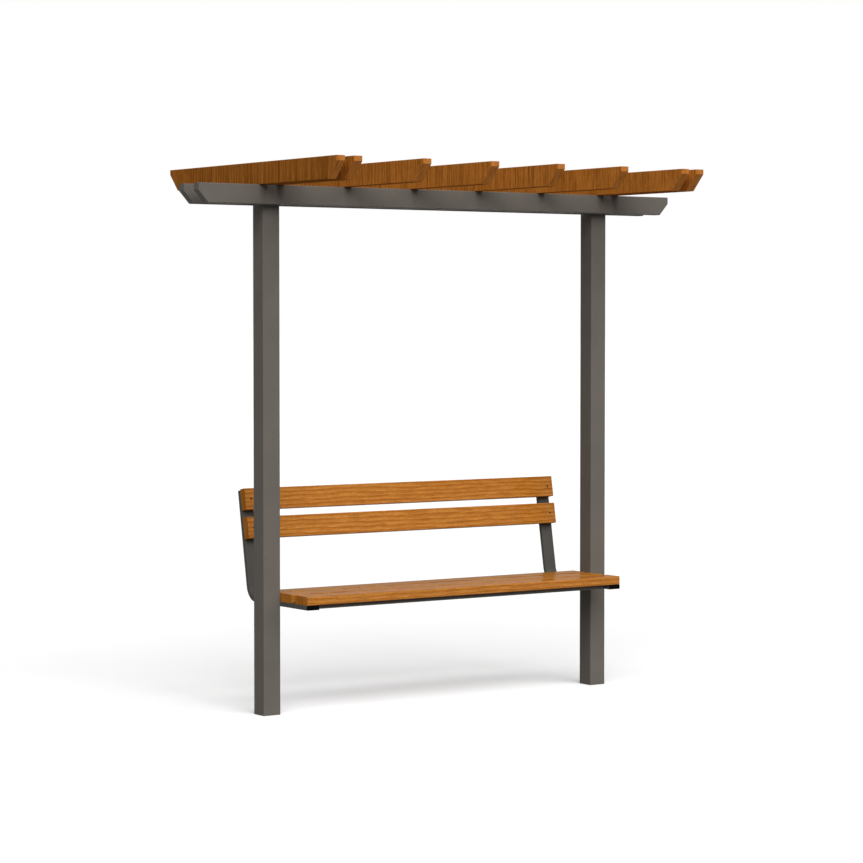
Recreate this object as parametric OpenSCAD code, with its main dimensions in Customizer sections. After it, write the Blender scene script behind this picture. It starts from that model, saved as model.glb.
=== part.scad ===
// Garden pergola: a bench between two steel posts, under an open roof of
// timber rafters that lie on a pair of steel beams.
// Millimetres. X runs along the bench, Y to the back and Z up. The origin is
// the centre of the left post's foot, at ground level.

/* [Posts] */
// Width of each square post
post_w = 82; // [60:1:120]
// Wall of the post tube
post_wall = 3; // [2:0.5:4.5]
// Outside corner radius of the post tube
post_corner_r = 3.5; // [3.5:0.5:8]
// Height from the ground to the underside of the beams
clear_h = 2143; // [1900:1:2600]
// Thickness of the plate that closes the foot of a post
foot_plate_t = 6; // [3:1:12]
// Thickness of the plate that closes the top of a post
top_plate_t = 3; // [2:1:6]

/* [Beams] */
// Length of each beam
beam_l = 2470; // [2200:5:3200]
// Height of each beam
beam_h = 82; // [60:1:120]
// Thickness of each beam, front to back
beam_t = 40; // [30:1:60]
// Wall of the beam tube
beam_wall = 3; // [2:0.5:3.5]
// Outside corner radius of the beam tube
beam_corner_r = 4; // [3.5:0.5:6]
// Height of the upright part of a beam's end, above its slanted cut
beam_end_h = 30; // [15:1:45]
// Length of the slanted cut, measured along the beam
beam_end_run = 47; // [20:1:80]
// Thickness of the folded plate that closes a beam's end
beam_end_plate_t = 3; // [2:1:5]

/* [Rafters] */
// Length of each rafter
rafter_l = 1355; // [900:5:1800]
// Height of each rafter
rafter_h = 92; // [70:1:140]
// Thickness of each rafter, along the beams
rafter_t = 40; // [25:1:40]
// Height of the upright part of a rafter's end, above its slanted cut
rafter_end_h = 21; // [10:1:50]
// Length of the slanted cut, measured along the rafter
rafter_end_run = 67; // [20:1:120]
// Centre distance of the four single rafters
rafter_pitch = 340; // [150:5:360]
// Radius of a rafter's long edges
rafter_edge_r = 2; // [1:0.5:4]

/* [Bench] */
// Clear distance between the posts, which the bench fills
bench_l = 1648; // [1200:1:2000]
// Gap between the end of each board and the post beside it
board_end_gap = 1; // [0.5:0.5:5]
// Height of the top of the seat
seat_top_z = 515; // [400:5:600]
// Reach of the seat in front of the posts' centre line
seat_front = 254; // [180:1:320]
// Thickness of every seat and back board
board_t = 37; // [26:1:45]
// Radius of the boards' long edges
board_edge_r = 3; // [1:0.5:4]
// Width of every seat and back board
board_w = 93; // [80:1:105]
// Gap between neighbouring seat boards
seat_gap = 33; // [5:1:40]
// Gap between the two back boards
back_gap = 31; // [10:1:60]
// Height of the upper back board's front top edge
back_top_z = 941; // [850:1:1100]
// Reach of the back rest behind the posts' centre line, at seat height
back_reach = 181; // [160:1:260]
// Angle at which the back rest leans back
back_lean = 10; // [4:1:16]

/* [Side frames] */
// Width of the bent side-frame tube, along the bench
frame_w = 60; // [40:1:80]
// Thickness of the side-frame tube
frame_t = 20; // [15:1:30]
// Wall of the side-frame tube and of the seat rail
frame_wall = 2; // [1.5:0.5:2.5]
// Outside corner radius of the side-frame tube and of the seat rail
frame_corner_r = 3; // [2.5:0.5:4]
// Radius on the inside of the side frame's bend
frame_bend_r = 55; // [45:1:70]
// Distance from the upper board's top edge down to the side frame's top
frame_top_drop = 5; // [0:1:20]
// Thickness of the flange of a plastic end cap
cap_flange_t = 3; // [2:0.5:5]
// Length of the plug that holds an end cap in its tube
cap_plug_l = 12; // [6:1:20]
// Wall of the hollow plug of an end cap
cap_plug_wall = 2; // [1.5:0.5:3]
// Clearance all round between an end cap's plug and its tube
cap_fit = 0.2; // [0.1:0.1:0.5]

/* [Seat rail] */
// Width of the seat rail, front to back
rail_w = 40; // [25:1:60]
// Distance from the seat's front edge back to the seat rail
rail_setback = 35; // [15:1:60]

/* [Screws] */
// Shank diameter of the screws in the boards
screw_d = 4.5; // [4:0.5:8]
// Head diameter of the countersunk screws in the back boards
back_screw_head_d = 9; // [8.5:0.5:14]
// Depth of a countersunk head below the face of its board
back_screw_recess = 1; // [0.5:0.5:3]
// Head diameter of the screws under the seat
seat_screw_head_d = 11; // [11:0.5:18]
// Height of the heads under the seat
seat_screw_head_h = 3; // [2:0.5:6]
// Diameter of the flat at the end of those heads
seat_screw_flat_d = 8; // [6:0.5:10.5]
// Length of screw that bites into a seat board
seat_screw_bite = 22; // [10:1:30]
// Length of screw inside the side frame, behind its front wall
back_screw_end = 8; // [4:1:10]
// Clearance all round between a screw and its hole
screw_fit = 0.25; // [0.1:0.05:0.5]

/* [Hidden] */
$fn = 48;

RAFTERS = 8;

// Posts: their centres lie on the X axis, and the bench fits between them
right_x = bench_l + post_w;
middle_x = right_x / 2;
beam_top_z = clear_h + beam_h;

// Bench: every board runs from just beside one post to just beside the other
board_x = post_w / 2 + board_end_gap;
board_l = bench_l - 2 * board_end_gap;
board_bottom_z = seat_top_z - board_t;

// Front edges of the three seat boards
front_board_y = -seat_front;
middle_board_y = front_board_y + board_w + seat_gap;
rear_board_y = middle_board_y + board_w + seat_gap;

// Back rest: a leaning plane, whose local origin is the upper board's front
// top edge, with local Z up the slope and local Y square to it
back_top_y = back_reach + (back_top_z - seat_top_z) * tan(back_lean);
lower_board_s = board_w + back_gap;

// Side frame: the horizontal leg carries the seat boards, and the upright leg
// lies against the back of the back boards
frame_bottom_z = board_bottom_z - frame_t;
bend_outer_r = frame_bend_r + frame_t;
bend_angle = 90 - back_lean;
bend_z = frame_bottom_z + bend_outer_r;
bend_y = (back_reach * cos(back_lean) + (bend_z - seat_top_z) * sin(back_lean)
          + board_t - frame_bend_r) / cos(back_lean);
frame_front_y = front_board_y + cap_flange_t;
upright_top_s = -frame_top_drop - cap_flange_t;
upright_bottom_s = (bend_y - back_top_y) * sin(back_lean)
                   + (bend_z - back_top_z) * cos(back_lean);
bend_slim = 0.05;
bend_lap = 1;
left_frame_x = post_w / 2;
right_frame_x = right_x - post_w / 2 - frame_w;

steel = "#6b665f";
steel_dark = "#4f4b46";
rafter_wood = "#8a5520";
board_wood = "#b5742c";
cap_black = "#1a1a1a";
zinc = "#9a9a98";

// A rectangle of w by h from the origin, with true arcs at its corners
module rounded_rect(w, h, r) {
    translate([r, 0]) square([w - 2 * r, h]);
    translate([0, r]) square([w, h - 2 * r]);
    for (x = [r, w - r], y = [r, h - r])
        translate([x, y]) circle(r);
}

// A bar along X, of width w in Y and height h in Z
module bar_x(l, w, h, r) {
    rotate([90, 0, 90]) linear_extrude(l) rounded_rect(w, h, r);
}

// A square tube or plate outline about the Z axis
module post_outline(inset) {
    w = post_w - 2 * inset;
    translate([-w / 2, -w / 2]) rounded_rect(w, w, post_corner_r - inset);
}

module post_tube() {
    color(steel)
        translate([0, 0, foot_plate_t])
            linear_extrude(beam_top_z - top_plate_t - foot_plate_t)
                difference() {
                    post_outline(0);
                    post_outline(post_wall);
                }
}

module post_plate(z, t) {
    color(steel_dark)
        translate([0, 0, z]) linear_extrude(t) post_outline(0);
}

// Side view of a beam, with both ends cut back by c square to their faces
module beam_side(c) {
    kink_z = beam_h - beam_end_h;
    cut_l = norm([beam_end_run, kink_z]);
    inner_kink_z = kink_z + c * beam_end_run / cut_l
                   - c * (1 - kink_z / cut_l) * kink_z / beam_end_run;
    bottom_x = beam_l / 2 - beam_end_run - c * cut_l / kink_z;
    end_x = beam_l / 2 - c;
    polygon([
        [-bottom_x, 0], [bottom_x, 0],
        [end_x, inner_kink_z], [end_x, beam_h],
        [-end_x, beam_h], [-end_x, inner_kink_z]
    ]);
}

// The beam's side view pulled through its thickness, about the bench's middle
module beam_block(c) {
    translate([middle_x, beam_t, clear_h])
        rotate([90, 0, 0]) linear_extrude(beam_t) beam_side(c);
}

// The beam's full-length section: outside, or its hollow
module beam_section(inset) {
    translate([middle_x - beam_l / 2, inset, clear_h + inset])
        bar_x(beam_l, beam_t - 2 * inset, beam_h - 2 * inset, beam_corner_r - inset);
}

module beam(y) {
    color(steel)
        translate([0, y, 0])
            difference() {
                intersection() {
                    beam_block(beam_end_plate_t);
                    beam_section(0);
                }
                beam_section(beam_wall);
            }
}

// A folded plate that follows the upright and the slanted part of an end;
// side is -1 for the left end of the beam and 1 for the right end
module beam_end(y, side) {
    end_l = beam_end_run + beam_end_plate_t * 3;
    color(steel_dark)
        translate([0, y, 0])
            intersection() {
                difference() {
                    beam_block(0);
                    beam_block(beam_end_plate_t);
                }
                beam_section(0);
                translate([middle_x + side * (beam_l - end_l) / 2, beam_t / 2, clear_h + beam_h / 2])
                    cube([end_l, 2 * beam_t, 2 * beam_h], center = true);
            }
}

// Rafters 1 and 2 stand over the left post, one outside its outer face and one
// inside its inner face; 7 and 8 mirror them, and 3 to 6 are the single ones
function rafter_x(i) =
    i == 1 ? -(post_w + rafter_t) / 2 :
    i == 2 ? (post_w - rafter_t) / 2 :
    i > RAFTERS / 2 ? right_x - rafter_x(RAFTERS + 1 - i) :
    middle_x - (RAFTERS / 2 + 0.5 - i) * rafter_pitch;

module rafter(i) {
    kink_z = rafter_h - rafter_end_h;
    flat_y = rafter_l / 2 - rafter_end_run;
    color(rafter_wood)
        translate([rafter_x(i) - rafter_t / 2, 0, beam_top_z])
            intersection() {
                rotate([90, 0, 90]) linear_extrude(rafter_t) polygon([
                    [-flat_y, 0], [flat_y, 0],
                    [rafter_l / 2, kink_z], [rafter_l / 2, rafter_h],
                    [-rafter_l / 2, rafter_h], [-rafter_l / 2, kink_z]
                ]);
                translate([rafter_t, -rafter_l / 2, 0])
                    rotate([0, 0, 90]) bar_x(rafter_l, rafter_t, rafter_h, rafter_edge_r);
            }
}

// Moves its children to the back rest's leaning plane
module on_back() {
    translate([0, back_top_y, back_top_z]) rotate([-back_lean, 0, 0]) children();
}

// The side frame's solid outline, or its hollow; past is how far the legs run
// on beyond their open ends. The bend is a hair slimmer than the legs, whose
// ends lap over it, so that the three join with no faces in line
module frame_sweep(inset, past) {
    w = frame_w - 2 * inset;
    t = frame_t - 2 * inset;
    r = frame_corner_r - inset;
    leg_l = bend_y + bend_lap - frame_front_y + past;
    upright_l = upright_top_s - upright_bottom_s + bend_lap + past;
    translate([inset, frame_front_y - past, frame_bottom_z + inset])
        mirror([1, -1, 0]) bar_x(leg_l, w, t, r);
    translate([inset + bend_slim, bend_y, bend_z])
        rotate([0, 90, 0]) rotate_extrude(angle = bend_angle)
            translate([frame_bend_r + inset + bend_slim, 0])
                rounded_rect(t - 2 * bend_slim, w - 2 * bend_slim, r - bend_slim);
    on_back() translate([inset, board_t + inset, upright_bottom_s - bend_lap])
        linear_extrude(upright_l) rounded_rect(w, t, r);
}

module side_frame(x) {
    color(steel_dark)
        difference() {
            translate([x, 0, 0]) frame_sweep(0, 0);
            translate([x, 0, 0]) frame_sweep(frame_wall, 1);
            seat_screw_holes();
            back_screw_holes();
        }
}

// An end cap with its flange on Z = 0, rising to the flange's outside, and its
// hollow plug below; it closes a tube of frame_w by frame_t
module end_cap() {
    plug_inset = frame_wall + cap_fit;
    plug_r = frame_corner_r - frame_wall;
    color(cap_black) {
        linear_extrude(cap_flange_t) rounded_rect(frame_w, frame_t, frame_corner_r);
        translate([plug_inset, plug_inset, -cap_plug_l])
            linear_extrude(cap_plug_l + 1) difference() {
                w = frame_w - 2 * plug_inset;
                t = frame_t - 2 * plug_inset;
                rounded_rect(w, t, plug_r);
                translate([cap_plug_wall, cap_plug_wall])
                    square([w - 2 * cap_plug_wall, t - 2 * cap_plug_wall]);
            }
    }
}

module front_cap(x) {
    translate([x, frame_front_y, frame_bottom_z])
        rotate([90, 0, 0]) end_cap();
}

module top_cap(x) {
    on_back() translate([x, board_t, upright_top_s]) end_cap();
}

module seat_rail() {
    x = left_frame_x + frame_w;
    l = right_frame_x - x;
    color(steel_dark)
        translate([x, front_board_y + rail_setback, frame_bottom_z])
            difference() {
                bar_x(l, rail_w, frame_t, frame_corner_r);
                translate([-1, frame_wall, frame_wall])
                    bar_x(l + 2, rail_w - 2 * frame_wall, frame_t - 2 * frame_wall,
                          frame_corner_r - frame_wall);
            }
}

module seat_board(y) {
    color(board_wood)
        difference() {
            translate([board_x, y, board_bottom_z])
                bar_x(board_l, board_w, board_t, board_edge_r);
            seat_screw_holes();
        }
}

// s is the distance from the back rest's top edge down the slope
module back_board(s) {
    color(board_wood)
        difference() {
            on_back() translate([board_x, 0, -s - board_w])
                bar_x(board_l, board_t, board_w, board_edge_r);
            back_screw_holes();
        }
}

// Calls its children at the middle of both side-frame tubes
module at_frames() {
    for (x = [left_frame_x + frame_w / 2, right_frame_x + frame_w / 2])
        translate([x, 0, 0]) children();
}

// One screw under the middle of each seat board, at both side frames
module at_seat_screws() {
    at_frames()
        for (y = [front_board_y, middle_board_y, rear_board_y])
            translate([0, y + board_w / 2, frame_bottom_z]) children();
}

module seat_screw_holes() {
    at_seat_screws()
        translate([0, 0, -1])
            cylinder(h = frame_t + seat_screw_bite + screw_fit + 1, d = screw_d + 2 * screw_fit);
}

module seat_screws() {
    color(zinc)
        at_seat_screws() {
            cylinder(h = frame_t + seat_screw_bite, d = screw_d);
            translate([0, 0, -seat_screw_head_h])
                cylinder(h = seat_screw_head_h, d1 = seat_screw_flat_d, d2 = seat_screw_head_d);
        }
}

// One screw at half the width of each back board, at both side frames; its
// local Z points out of the board's face
module at_back_screws() {
    on_back()
        at_frames()
            for (s = [0, lower_board_s])
                translate([0, 0, -s - board_w / 2]) rotate([90, 0, 0]) children();
}

// A countersunk screw shape: its head's rim lies back_screw_recess below the
// face and its shank is l long below the rim; c widens it all round
module countersunk(l, c) {
    head_h = (back_screw_head_d - screw_d) / 2;
    translate([0, 0, -back_screw_recess - l])
        cylinder(h = l, d = screw_d + 2 * c);
    translate([0, 0, -back_screw_recess - head_h])
        cylinder(h = head_h, d1 = screw_d + 2 * c, d2 = back_screw_head_d + 2 * c);
}

module back_screw_holes() {
    at_back_screws() {
        countersunk(board_t + frame_t / 2, screw_fit);
        translate([0, 0, -back_screw_recess])
            cylinder(h = back_screw_recess + 1, d = back_screw_head_d + 2 * screw_fit);
    }
}

module back_screws() {
    color(zinc)
        at_back_screws()
            countersunk(board_t - back_screw_recess + frame_wall + back_screw_end, 0);
}

post_tube();  // left_post
translate([right_x, 0, 0]) post_tube();  // right_post
post_plate(0, foot_plate_t);  // left_post_foot_plate
translate([right_x, 0, 0]) post_plate(0, foot_plate_t);  // right_post_foot_plate
post_plate(beam_top_z - top_plate_t, top_plate_t);  // left_post_top_plate
translate([right_x, 0, 0]) post_plate(beam_top_z - top_plate_t, top_plate_t);  // right_post_top_plate
beam(-post_w / 2 - beam_t);  // front_beam
beam(post_w / 2);  // rear_beam
beam_end(-post_w / 2 - beam_t, -1);  // front_beam_left_end
beam_end(-post_w / 2 - beam_t, 1);  // front_beam_right_end
beam_end(post_w / 2, -1);  // rear_beam_left_end
beam_end(post_w / 2, 1);  // rear_beam_right_end
for (i = [1:RAFTERS])
    rafter(i);
side_frame(left_frame_x);  // left_side_frame
side_frame(right_frame_x);  // right_side_frame
front_cap(left_frame_x);  // left_frame_front_cap
front_cap(right_frame_x);  // right_frame_front_cap
top_cap(left_frame_x);  // left_frame_top_cap
top_cap(right_frame_x);  // right_frame_top_cap
seat_rail();
seat_board(front_board_y);  // front_seat_board
seat_board(middle_board_y);  // middle_seat_board
seat_board(rear_board_y);  // rear_seat_board
back_board(0);  // upper_back_board
back_board(lower_board_s);  // lower_back_board
seat_screws();
back_screws();
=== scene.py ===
import math

import bmesh
import bpy
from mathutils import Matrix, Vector


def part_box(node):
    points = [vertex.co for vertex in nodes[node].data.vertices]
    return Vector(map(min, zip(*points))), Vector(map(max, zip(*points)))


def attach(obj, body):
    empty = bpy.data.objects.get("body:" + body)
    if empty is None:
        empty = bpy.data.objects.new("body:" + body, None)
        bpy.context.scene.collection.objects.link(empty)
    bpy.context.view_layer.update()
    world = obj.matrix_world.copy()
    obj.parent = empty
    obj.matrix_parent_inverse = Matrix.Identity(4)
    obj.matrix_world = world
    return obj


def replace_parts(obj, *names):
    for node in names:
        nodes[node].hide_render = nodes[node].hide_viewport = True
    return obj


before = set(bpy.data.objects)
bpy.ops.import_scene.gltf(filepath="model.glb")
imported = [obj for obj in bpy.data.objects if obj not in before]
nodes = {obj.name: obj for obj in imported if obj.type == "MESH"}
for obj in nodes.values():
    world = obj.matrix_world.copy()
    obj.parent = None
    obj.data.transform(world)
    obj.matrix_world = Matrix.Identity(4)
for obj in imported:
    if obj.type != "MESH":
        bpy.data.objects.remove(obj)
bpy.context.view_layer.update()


# Posts. Two 82 mm square steel tubes, closed by a plate at the foot and one at
# the top, stand on the ground and carry everything else. The steel is blasted
# and powder coated in one warm grey before the timber goes on.

COAT_GREY = (0.124, 0.111, 0.096)
COAT_ROUGHNESS = 0.55
COAT_SPECULAR = 0.07
COAT_CLOUDS = (7, 7, 7)
COAT_PATCHES = (25, 25, 25)
ORANGE_PEEL = (450, 450, 450)
PEEL_DEPTH = 0.0002
STEEL_EDGE = 0.0006
SAME_POINT = 1e-6
SAME_FACE = math.radians(0.5)
SHARP_CORNER = math.radians(35)
FLATTEN_FULLY = 100


def put(tree, kind, inputs=None, **settings):
    """Adds a shader node. An input is a value, or the output that is linked to it."""
    node = tree.nodes.new(f"ShaderNode{kind}")
    for name, value in settings.items():
        setattr(node, name, value)
    for name, value in (inputs or {}).items():
        if isinstance(value, bpy.types.NodeSocket):
            tree.links.new(value, node.inputs[name])
        else:
            node.inputs[name].default_value = value
    return node


def math_node(tree, operation, *values):
    """A Math node's output."""
    return put(tree, "Math", dict(enumerate(values)), operation=operation).outputs["Value"]


def ramp(tree, factor, stops):
    """A colour ramp's output; a stop is (place, colour) or (place, grey level)."""
    node = put(tree, "ValToRGB", {"Fac": factor})
    elements = node.color_ramp.elements
    while len(elements) < len(stops):
        elements.new(1)
    for element, (place, colour) in zip(elements, stops):
        element.position = place
        element.color = (*colour, 1) if isinstance(colour, tuple) else (colour, colour, colour, 1)
    return node.outputs["Color"]


def multiply(tree, *colours):
    """Colours multiplied together."""
    product = colours[0]
    for colour in colours[1:]:
        step = put(tree, "VectorMath", {0: product, 1: colour}, operation="MULTIPLY")
        product = step.outputs["Vector"]
    return product


def own_place(tree, lean=0.0):
    """The object's own metres, turned back by a piece's lean about X."""
    place = put(tree, "TexCoord").outputs["Object"]
    return put(tree, "Mapping", {"Vector": place, "Rotation": (lean, 0, 0)}).outputs["Vector"]


def noise(tree, place, scale, detail=3, roughness=0.55, shift=(0, 0, 0)):
    """Noise with that many features a metre along X, Y and Z."""
    mapped = put(tree, "Mapping", {"Vector": place, "Location": shift, "Scale": scale})
    cloud = put(tree, "TexNoise", {
        "Vector": mapped.outputs["Vector"], "Scale": 1, "Detail": detail, "Roughness": roughness,
    })
    return cloud.outputs["Fac"]


def bump(tree, shader, height, strength, distance):
    """Raises the surface by a height map."""
    node = put(tree, "Bump", {"Height": height, "Strength": strength, "Distance": distance})
    tree.links.new(node.outputs["Normal"], shader.inputs["Normal"])


def new_material(name, roughness, specular):
    """An empty material: its tree, its shader and the material."""
    material = bpy.data.materials.new(name)
    material.use_nodes = True
    tree = material.node_tree
    shader = tree.nodes["Principled BSDF"]
    shader.inputs["Roughness"].default_value = roughness
    shader.inputs["Specular IOR Level"].default_value = specular
    return tree, shader, material


def powder_coat(name, colour):
    """Satin powder coat: a faint cloudiness in the colour and a fine orange-peel skin."""
    tree, shader, material = new_material(name, COAT_ROUGHNESS, COAT_SPECULAR)
    place = own_place(tree)
    tone = ramp(tree, noise(tree, place, COAT_CLOUDS), [(0.3, 0.94), (0.7, 1.05)])
    tree.links.new(multiply(tree, tone, colour), shader.inputs["Base Color"])
    dull = put(tree, "MapRange", {
        "Value": noise(tree, place, COAT_PATCHES),
        "To Min": COAT_ROUGHNESS - 0.05, "To Max": COAT_ROUGHNESS + 0.08,
    })
    tree.links.new(dull.outputs["Result"], shader.inputs["Roughness"])
    peel = noise(tree, place, ORANGE_PEEL, detail=2)
    bump(tree, shader, peel, strength=0.25, distance=PEEL_DEPTH)
    return material


def joined_copy(node):
    """A copy of a CAD node with its triangles joined into whole faces."""
    mesh = bmesh.new()
    mesh.from_mesh(nodes[node].data)
    bmesh.ops.remove_doubles(mesh, verts=mesh.verts, dist=SAME_POINT)
    bmesh.ops.dissolve_limit(mesh, angle_limit=SAME_FACE, verts=mesh.verts, edges=mesh.edges)
    return mesh


def eased_copy(node, radius):
    """A joined copy of a CAD node with its sharp edges rounded."""
    mesh = joined_copy(node)
    closed = [edge for edge in mesh.edges if len(edge.link_faces) == 2]
    sharp = [edge for edge in closed if edge.calc_face_angle(0) > SHARP_CORNER]
    bmesh.ops.bevel(
        mesh, geom=sharp, affect="EDGES", offset=radius, segments=2,
        profile=0.5, material=-1, clamp_overlap=True,
    )
    return mesh


def finish_piece(mesh, name, materials):
    """Turns a bmesh into a piece of the object, with smooth edges and flat faces."""
    data = bpy.data.meshes.new(name)
    mesh.to_mesh(data)
    mesh.free()
    for material in materials:
        data.materials.append(material)
    data.shade_smooth()
    piece = bpy.data.objects.new(name, data)
    bpy.context.scene.collection.objects.link(piece)
    flatten = piece.modifiers.new("flat faces", "WEIGHTED_NORMAL")
    flatten.weight = FLATTEN_FULLY
    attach(piece, "root")
    return piece


def coated(node, material):
    """A coated steel piece that stands for its CAD node."""
    piece = finish_piece(eased_copy(node, STEEL_EDGE), f"{node}_coated", [material])
    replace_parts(piece, node)


post_coat = powder_coat("post_coat", COAT_GREY)
for side in ("left", "right"):
    for part in ("post", "post_foot_plate", "post_top_plate"):
        coated(f"{side}_{part}", post_coat)


# Beams. Two 82 by 40 mm steel tubes run along the front and the back of the
# posts' tops and are welded to them. Their ends are cut on a slant and closed
# by a folded plate.

for beam in ("front_beam", "rear_beam"):
    for part in ("", "_left_end", "_right_end"):
        coated(beam + part, post_coat)


# Side frames and seat rail. Each frame is a 60 by 20 mm steel tube, welded to its
# post and bent to lead from under the seat up behind the back rest. The rail, of
# 40 by 20 mm tube, joins the two under the seat's front. It is coated in the
# posts' paler grey as painted light, for the light that the boards throw onto it.

FRAME_GREY = (0.078, 0.074, 0.066)

frame_coat = powder_coat("frame_coat", FRAME_GREY)
for side in ("left", "right"):
    coated(f"{side}_side_frame", frame_coat)
coated("seat_rail", post_coat)


# Welds. Fillet beads 4 to 5 mm wide join the beams to the posts, the side
# frames to the posts and the rail to the side frames. They lie under the coat,
# which softens their ripples.

BEAD = 0.0045
BEAD_FACETS = 6
BEAD_START = 0.35  # a bead's width at its two ends, as a share of BEAD
RIPPLE = 0.0018
RIPPLE_HEIGHT = 0.06  # as a share of BEAD
RIPPLE_STEPS = 3

# A bead's root lies this far in from the face or the underside of its tube.
CORNER_INSET = 0.0025
UNDERSIDE_INSET = 0.0015
RAIL_INSET = 0.001

# A bead stops this far short of the end of its seam.
POST_END_GAP = 0.005
BEAM_TOP_GAP = 0.004
FRAME_END_GAP = 0.003
FRAME_TOP_GAP = 0.002


def weld_bead(mesh, start, end, first, second, turn=90):
    """Adds a rippled bead from start to end. Its section turns from one direction to another."""
    start, end, first, second = (Vector(v) for v in (start, end, first, second))
    length = (end - start).length
    along = (end - start).normalized()
    angles = [math.radians(turn) * point / BEAD_FACETS for point in range(BEAD_FACETS + 1)]
    rim = [start + (first * math.cos(angle) + second * math.sin(angle)) * BEAD for angle in angles]
    bead = bmesh.new()
    section = bead.faces.new([bead.verts.new(point) for point in (start, *rim)])
    steps = round(length / RIPPLE * RIPPLE_STEPS)
    bmesh.ops.spin(
        bead, geom=[section], cent=start, axis=along, dvec=(end - start) / steps, angle=0, steps=steps,
    )
    for vert in bead.verts:
        place = (vert.co - start).dot(along)
        taper = min(1, BEAD_START + min(place, length - place) / BEAD)
        swell = taper * (1 + RIPPLE_HEIGHT * math.sin(math.tau * place / RIPPLE))
        middle = start + along * place
        vert.co = middle + (vert.co - middle) * swell
    data = bpy.data.meshes.new("bead")
    bead.to_mesh(data)
    bead.free()
    mesh.from_mesh(data)
    bpy.data.meshes.remove(data)


beam_welds = bmesh.new()
frame_welds = bmesh.new()
beam_low, beam_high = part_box("front_beam")
rail_low, rail_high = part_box("seat_rail")
for side, inward in (("left", 1), ("right", -1)):
    post_low, post_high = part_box(f"{side}_post")
    frame_x = post_high.x if inward > 0 else post_low.x
    rail_x = rail_low.x if inward > 0 else rail_high.x
    beam_root = beam_low.z + UNDERSIDE_INSET
    frame_root = rail_low.z + UNDERSIDE_INSET
    for outward, face_y in ((-1, post_low.y), (1, post_high.y)):
        weld_bead(
            beam_welds, (post_low.x + POST_END_GAP, face_y, beam_root),
            (post_high.x - POST_END_GAP, face_y, beam_root), (0, 0, -1), (0, outward, 0),
        )
        for away, corner_x in ((-1, post_low.x + CORNER_INSET), (1, post_high.x - CORNER_INSET)):
            weld_bead(
                beam_welds, (corner_x, face_y, beam_low.z + POST_END_GAP),
                (corner_x, face_y, beam_high.z - BEAM_TOP_GAP), (away, 0, 0), (0, -outward, 0),
            )

    weld_bead(
        frame_welds, (frame_x, post_low.y + POST_END_GAP, frame_root),
        (frame_x, post_high.y - POST_END_GAP, frame_root), (0, 0, -1), (inward, 0, 0),
    )
    for outward, corner_y in ((-1, post_low.y + CORNER_INSET), (1, post_high.y - CORNER_INSET)):
        weld_bead(
            frame_welds, (frame_x, corner_y, rail_low.z + FRAME_END_GAP),
            (frame_x, corner_y, rail_high.z - FRAME_TOP_GAP), (0, outward, 0), (-inward, 0, 0),
        )

    rail_root = rail_low.z + FRAME_END_GAP
    weld_bead(
        frame_welds, (rail_x, rail_low.y + FRAME_END_GAP, rail_root),
        (rail_x, rail_high.y - FRAME_END_GAP, rail_root), (1, 0, 0), (0, 0, -1), turn=180,
    )
    for outward, edge_y in ((-1, rail_low.y + RAIL_INSET), (1, rail_high.y - RAIL_INSET)):
        weld_bead(
            frame_welds, (rail_x, edge_y, rail_low.z + FRAME_TOP_GAP),
            (rail_x, edge_y, rail_high.z - FRAME_TOP_GAP), (0, outward, 0), (inward, 0, 0),
        )

for welds, name, coat, slot in (
    (beam_welds, "beam_welds", post_coat, "steel_paint"),
    (frame_welds, "frame_welds", frame_coat, "frame_paint"),
):
    bmesh.ops.recalc_face_normals(welds, faces=welds.faces)
    finish_piece(welds, name, [coat])


# End caps. Black moulded plugs close the open ends of the side frames, at the
# front under the seat and at the top behind the back rest.

CAP_BLACK = (0.0025, 0.0025, 0.0025)
CAP_EDGE = 0.0012
MOULD_SPECKLE = (1500, 1500, 1500)
SPECKLE_DEPTH = 0.0001


def moulded_plastic(name, colour):
    """Black plastic with the fine even texture of a spark-eroded mould."""
    tree, shader, material = new_material(name, roughness=0.6, specular=0.01)
    speckle = noise(tree, own_place(tree), MOULD_SPECKLE, detail=1)
    tone = ramp(tree, speckle, [(0.3, 0.8), (0.7, 1.25)])
    tree.links.new(multiply(tree, tone, colour), shader.inputs["Base Color"])
    bump(tree, shader, speckle, strength=0.3, distance=SPECKLE_DEPTH)
    return material


cap_plastic = moulded_plastic("cap_plastic", CAP_BLACK)
for side in ("left", "right"):
    for end in ("front", "top"):
        node = f"{side}_frame_{end}_cap"
        mesh = eased_copy(node, CAP_EDGE)
        cap = finish_piece(mesh, f"{node}_moulded", [cap_plastic])
        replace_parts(cap, node)


# Boards. Three planed boards make the seat and two the back rest, 93 by 37 mm,
# with eased edges and a clear glossy varnish. The back boards are screwed
# through to the side frames, and the seat boards from below.

BOARD_PALE = (0.495, 0.198, 0.037)
BOARD_MID = (0.435, 0.159, 0.024)
BOARD_DARK = (0.335, 0.108, 0.009)
FLECK_DARK = (0.82, 0.78, 0.66)
FLECK_PALE = (1.10, 1.13, 1.22)
CLOUD_DARK = (0.95, 0.91, 0.84)
CLOUD_PALE = (1.04, 1.06, 1.10)
VARNISH = 0.17
VARNISH_ROUGHNESS = 0.06
BOARD_EDGE = 0.0008
BACK_LEAN = math.radians(10)
GROWTH_LINE = 0.017
WANDER_LINES = 1.6  # how many growth lines a line wanders aside
WAVE_LINES = 0.40
BOARD_WANDER = (2.4, 9, 9)
BOARD_WAVES = (12, 45, 45)
BOARD_FLECKS = (13, 110, 110)
BOARD_FIBRES = (60, 420, 420)
BOARD_CLOUDS = (1.4, 12, 12)
FIBRE_DEPTH = 0.0003
END_LINES = (30, 170, 14)
END_PORES = (900, 900, 900)
PORE_DEPTH = 0.0002
END_FACE = 0.9


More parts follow.
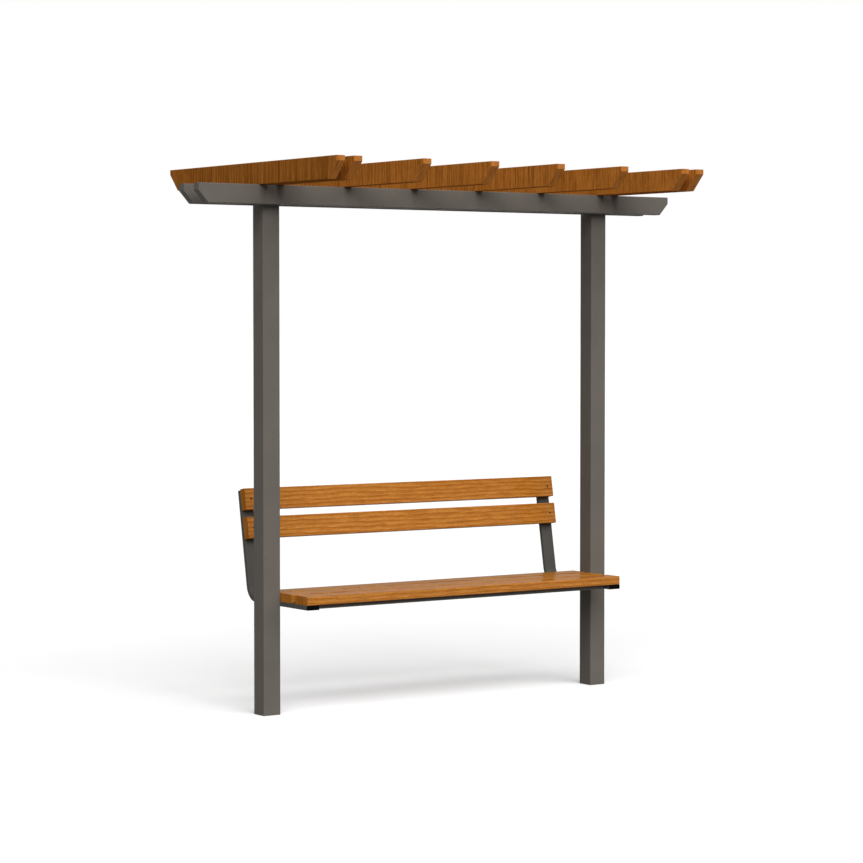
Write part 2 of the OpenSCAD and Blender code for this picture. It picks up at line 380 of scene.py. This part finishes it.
def board_face(name, sheet, shift, lean, tone):
    """Timber cut along its grain: narrow dark growth lines that wander along the board.

    sheet is the way across the growth lines, in Y and Z, and tone multiplies the colour.
    """
    tree, shader, material = new_material(name, roughness=0.6, specular=0.0)
    place = own_place(tree, lean)
    across = Vector((0, *sheet)).normalized() / GROWTH_LINE
    depth = put(tree, "VectorMath", {0: place, 1: across}, operation="DOT_PRODUCT")
    wander = noise(tree, place, BOARD_WANDER, shift=shift)
    waves = noise(tree, place, BOARD_WAVES, detail=2, shift=shift)
    pushed = math_node(tree, "MULTIPLY_ADD", wander, WANDER_LINES, depth.outputs["Value"])
    pushed = math_node(tree, "MULTIPLY_ADD", waves, WAVE_LINES, pushed)
    lines = ramp(tree, math_node(tree, "FRACT", pushed), [
        (0, BOARD_MID), (0.12, BOARD_PALE), (0.62, BOARD_MID), (0.88, BOARD_DARK), (0.97, BOARD_MID),
    ])
    flecks = noise(tree, place, BOARD_FLECKS, shift=shift)
    dashes = ramp(tree, flecks, [(0.32, FLECK_DARK), (0.68, FLECK_PALE)])
    fibres = noise(tree, place, BOARD_FIBRES, detail=4)
    streaks = ramp(tree, fibres, [(0.3, 0.77), (0.65, 1.10)])
    clouds = noise(tree, place, BOARD_CLOUDS, shift=shift)
    shades = ramp(tree, clouds, [(0.3, CLOUD_DARK), (0.7, CLOUD_PALE)])
    tree.links.new(multiply(tree, lines, dashes, streaks, shades, tone), shader.inputs["Base Color"])
    bump(tree, shader, fibres, strength=0.2, distance=FIBRE_DEPTH)
    shader.inputs["Coat Weight"].default_value = VARNISH
    shader.inputs["Coat Roughness"].default_value = VARNISH_ROUGHNESS
    return material


def board_end(name, shift, lean):
    """Timber cut across its grain, with fine dark lines that stand upright."""
    tree, shader, material = new_material(name, roughness=0.6, specular=0.0)
    place = own_place(tree, lean)
    lines = noise(tree, place, END_LINES, shift=shift)
    colour = ramp(tree, lines, [(0.36, BOARD_DARK), (0.5, BOARD_MID), (0.64, BOARD_PALE)])
    pores = noise(tree, place, END_PORES, detail=1)
    pits = ramp(tree, pores, [(0.3, 0.78), (0.6, 1.0)])
    tree.links.new(multiply(tree, colour, pits), shader.inputs["Base Color"])
    bump(tree, shader, pores, strength=0.25, distance=PORE_DEPTH)
    return material


def board(node, sheet, shift, tone, lean=0.0):
    """A varnished board that stands for its CAD node."""
    mesh = eased_copy(node, BOARD_EDGE)
    for face in mesh.faces:
        face.material_index = 1 if abs(face.normal.x) > END_FACE else 0
    timbers = [
        board_face(f"{node}_face", sheet, shift, lean, tone),
        board_end(f"{node}_end", shift, lean),
    ]
    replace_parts(finish_piece(mesh, f"{node}_planed", timbers), node)


board(
    "front_seat_board", sheet=(0.5, 1.0), shift=(0.3, 0.7, 0.1), tone=(1.01, 1.01, 1.0),
)
# The middle and rear seat boards are toned darker, the rear one most: painted shade for the gaps
# between the seat boards, which darkens their tops as well.
board(
    "middle_seat_board", sheet=(0.8, 0.7), shift=(1.7, 0.2, 0.9), tone=(0.92, 0.97, 0.93),
)
board(
    "rear_seat_board", sheet=(0.6, 0.9), shift=(2.9, 0.5, 0.4), tone=(0.82, 0.90, 0.90),
)
board(
    "upper_back_board", sheet=(0.4, 1.0), shift=(4.1, 0.3, 0.8), tone=(0.98, 0.97, 0.92),
    lean=BACK_LEAN,
)
board(
    "lower_back_board", sheet=(-0.5, 1.0), shift=(5.6, 0.9, 0.2), tone=(0.98, 0.98, 0.96),
    lean=BACK_LEAN,
)


# Screws. Dark coated wood screws with a six-lobed recess: countersunk ones
# hold the back boards, and wider-headed ones from below hold the seat boards.

SCREW_DARK = (0.016, 0.008, 0.004)
SCREW_PALE = (0.030, 0.016, 0.009)
SCREW_PATCHES = (700, 700, 700)
PATCH_DEPTH = 0.0001
RECESS_RADIUS = 0.0021
RECESS_DEPTH = 0.0012
RECESS_LOBES = 6
LOBE_HEIGHT = 0.13
RECESS_TAPER = 0.85
RECESS_RIM = 0.0008
HEAD_FLAT = 0.99


def screw_coat(name):
    """The dark coating of an outdoor wood screw, worn a little uneven."""
    tree, shader, material = new_material(name, roughness=0.5, specular=0.03)
    patches = noise(tree, own_place(tree), SCREW_PATCHES)
    colour = ramp(tree, patches, [(0.3, SCREW_DARK), (0.7, SCREW_PALE)])
    tree.links.new(colour, shader.inputs["Base Color"])
    bump(tree, shader, patches, strength=0.2, distance=PATCH_DEPTH)
    return material


def recessed_screws(node, toward, coat):
    """A copy of a CAD node of screws, with a recess cut in each head that faces that way."""
    mesh = joined_copy(node)
    toward = Vector(toward).normalized()
    flats = [face for face in mesh.faces if face.normal.dot(toward) > HEAD_FLAT]
    bmesh.ops.inset_individual(mesh, faces=flats, thickness=RECESS_RIM)
    for flat in flats:
        middle = flat.calc_center_median()
        east = (flat.verts[0].co - middle).normalized()
        north = flat.normal.cross(east)
        for vert in flat.verts:
            out = vert.co - middle
            angle = math.atan2(out.dot(north), out.dot(east))
            reach = RECESS_RADIUS * (1 + LOBE_HEIGHT * math.cos(RECESS_LOBES * angle))
            vert.co = middle + (east * math.cos(angle) + north * math.sin(angle)) * reach
    sunk = bmesh.ops.extrude_discrete_faces(mesh, faces=flats)["faces"]
    for flat in sunk:
        middle = flat.calc_center_median()
        for vert in flat.verts:
            vert.co = middle + (vert.co - middle) * RECESS_TAPER - toward * RECESS_DEPTH
    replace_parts(finish_piece(mesh, f"{node}_recessed", [coat]), node)


dark_coat = screw_coat("screw_coat")
recessed_screws("back_screws", (0, -math.cos(BACK_LEAN), math.sin(BACK_LEAN)), dark_coat)
recessed_screws("seat_screws", (0, 0, -1), dark_coat)


# Rafters. Eight timbers lie across the beams, 40 by 92 mm, cut on a slant under
# both ends. Their broad sides are left as the saw made them, with fine upright
# marks, and the rest is planed.

SAWN_PALE = (0.605, 0.232, 0.044)
SAWN_MID = (0.448, 0.155, 0.025)
SAWN_DARK = (0.205, 0.060, 0.006)
PLANED_PALE = (0.490, 0.185, 0.042)
PLANED_MID = (0.430, 0.153, 0.031)
PLANED_DARK = (0.280, 0.090, 0.016)
SPECK_DARK = (0.86, 0.84, 0.76)
SPECK_PALE = (1.10, 1.11, 1.17)
PATCH_DARK = (0.88, 0.86, 0.80)
PATCH_PALE = (1.08, 1.07, 1.06)
SAW_MARKS = (3, 235, 3)
SAWN_SPECKS = (5, 110, 28)
SAWN_PATCHES = (2, 9, 6)
SAW_DEPTH = 0.0006
PLANED_GRAIN = (240, 5, 30)
PLANED_DEPTH = 0.0004
RAFTER_EDGE = 0.0010
# Rafter 1 is painted darker and the others lighter: painted shade on rafter 1, which has no neighbour
# to throw light onto its side, and painted light on the rest.
RAFTER_PAINTED_LIGHT = (0.80, 0.99, 1.06, 1.11, 1.09, 1.12, 1.11, 1.12)
# The slanted cuts under the rafters' ends are painted lighter: painted light on faces that look down.
CUT_PAINTED_LIGHT = 1.2
BROAD_SIDE = 0.9
SLANT = 0.3


def sawn_side(name, shift, tone):
    """The broad side of a rafter, with streaks that stand upright."""
    tree, shader, material = new_material(name, roughness=0.7, specular=0.0)
    place = own_place(tree)
    marks = noise(tree, place, SAW_MARKS, roughness=0.75, shift=shift)
    streaks = ramp(tree, marks, [(0.35, SAWN_DARK), (0.5, SAWN_MID), (0.65, SAWN_PALE)])
    specks = noise(tree, place, SAWN_SPECKS, shift=shift)
    dashes = ramp(tree, specks, [(0.34, SPECK_DARK), (0.66, SPECK_PALE)])
    patches = noise(tree, place, SAWN_PATCHES, detail=2, shift=shift)
    clouds = ramp(tree, patches, [(0.3, PATCH_DARK), (0.7, PATCH_PALE)])
    colour = multiply(tree, streaks, dashes, clouds, (tone, tone, tone))
    tree.links.new(colour, shader.inputs["Base Color"])
    bump(tree, shader, marks, strength=0.4, distance=SAW_DEPTH)
    return material


def planed_face(name, shift, tone=1.0):
    """The top, bottom, cuts and ends of a rafter, with streaks along it."""
    tree, shader, material = new_material(name, roughness=0.65, specular=0.0)
    grain = noise(tree, own_place(tree), PLANED_GRAIN, shift=shift)
    streaks = ramp(tree, grain, [(0.32, PLANED_DARK), (0.5, PLANED_MID), (0.68, PLANED_PALE)])
    tree.links.new(multiply(tree, streaks, (tone, tone, tone)), shader.inputs["Base Color"])
    bump(tree, shader, grain, strength=0.3, distance=PLANED_DEPTH)
    return material


for number, tone in enumerate(RAFTER_PAINTED_LIGHT, start=1):
    shift = (0, 3.7 * number, 1.9 * number)
    rafter = eased_copy(f"rafter_{number}", RAFTER_EDGE)
    for face in rafter.faces:
        slanted = abs(face.normal.y) > SLANT and face.normal.z < -SLANT
        face.material_index = 0 if abs(face.normal.x) > BROAD_SIDE else 2 if slanted else 1
    timbers = [
        sawn_side(f"rafter_{number}_side", shift, tone),
        planed_face(f"rafter_{number}_planed", shift),
        planed_face(f"rafter_{number}_cut", shift, CUT_PAINTED_LIGHT),
    ]
    piece = finish_piece(rafter, f"rafter_{number}_sawn", timbers)
    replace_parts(piece, f"rafter_{number}")


# Stand. A white floor that keeps the shadow, a white surround, three wide soft
# lamps side by side in front of the pergola, a weak one behind it, and the camera.
# The camera stands at eye height, 12 m away at the front left.

SURROUND = 0.05  # how strongly the white surround lights the object
FLOOR_BOUNCE = 0.2  # how white the floor is to the light that it throws back
FLOOR_SHOWN = 0.90  # how white it is to the camera
FLOOR_GLOW = 0.23  # light that the shown floor gives off, to come out white
FLOOR_REACH = 200
LAMP_ELEVATION = 35
CAMERA_LENS = 114.16
CAMERA_PLACE = (-5.924, -9.868, 1.661)
CAMERA_DOWN = 2.326
CAMERA_TURN = 34.428


def white_surround():
    """A world that shows white and adds only a little light."""
    world = bpy.data.worlds.new("surround")
    world.use_nodes = True
    tree = world.node_tree
    rays = put(tree, "LightPath")
    level = put(tree, "MapRange", {
        "Value": rays.outputs["Is Diffuse Ray"], "To Min": 1.0, "To Max": SURROUND,
    })
    glow = tree.nodes["Background"]
    glow.inputs["Color"].default_value = (1, 1, 1, 1)
    tree.links.new(level.outputs["Result"], glow.inputs["Strength"])
    return world


def floor_paint():
    """A white that the camera and the gloss see in full, and that keeps the shadow."""
    material = bpy.data.materials.new("floor_paint")
    material.use_nodes = True
    tree = material.node_tree
    tree.nodes.clear()
    rays = put(tree, "LightPath")
    seen = math_node(tree, "MAXIMUM", rays.outputs["Is Camera Ray"], rays.outputs["Is Glossy Ray"])
    lit = put(tree, "BsdfDiffuse", {"Color": (FLOOR_SHOWN, FLOOR_SHOWN, FLOOR_SHOWN, 1)})
    bright = put(tree, "Emission", {"Color": (1, 1, 1, 1), "Strength": FLOOR_GLOW})
    shown = put(tree, "AddShader", {0: lit.outputs["BSDF"], 1: bright.outputs["Emission"]})
    dim = put(tree, "BsdfDiffuse", {"Color": (FLOOR_BOUNCE, FLOOR_BOUNCE, FLOOR_BOUNCE, 1)})
    mixed = put(tree, "MixShader", {0: seen, 1: dim.outputs["BSDF"], 2: shown.outputs["Shader"]})
    put(tree, "OutputMaterial", {"Surface": mixed.outputs["Shader"]})
    return material


def soft_lamp(name, to_left, level, spread):
    """A wide soft lamp, far off and to_left degrees round from the front.

    level is how bright it makes a white face that is square to it, and spread is in degrees.
    """
    lamp = bpy.data.lights.new(name, "SUN")
    lamp.energy = level * math.pi
    lamp.angle = math.radians(spread)
    lamp_object = bpy.data.objects.new(name, lamp)
    left, up = math.radians(to_left), math.radians(LAMP_ELEVATION)
    shines = Vector((math.sin(left) * math.cos(up), math.cos(left) * math.cos(up), -math.sin(up)))
    lamp_object.rotation_euler = shines.to_track_quat("-Z", "Y").to_euler()
    bpy.context.scene.collection.objects.link(lamp_object)


bpy.context.scene.world = white_surround()

floor_mesh = bmesh.new()
bmesh.ops.create_grid(floor_mesh, x_segments=1, y_segments=1, size=FLOOR_REACH)
floor_data = bpy.data.meshes.new("floor")
floor_mesh.to_mesh(floor_data)
floor_mesh.free()
floor_data.materials.append(floor_paint())
floor = bpy.data.objects.new("floor", floor_data)
bpy.context.scene.collection.objects.link(floor)

soft_lamp("left_lamp", to_left=60, level=0.26, spread=35)
soft_lamp("front_lamp", to_left=20, level=0.77, spread=48)
soft_lamp("right_lamp", to_left=-20, level=0.36, spread=46)
soft_lamp("back_lamp", to_left=-150, level=0.15, spread=50)

camera_data = bpy.data.cameras.new("camera")
camera_data.lens = CAMERA_LENS
camera = bpy.data.objects.new("camera", camera_data)
camera.location = CAMERA_PLACE
camera.rotation_euler = (math.radians(90 - CAMERA_DOWN), 0, math.radians(-CAMERA_TURN))
bpy.context.scene.collection.objects.link(camera)
bpy.context.scene.camera = camera
bpy.context.scene.view_settings.view_transform = "Standard"
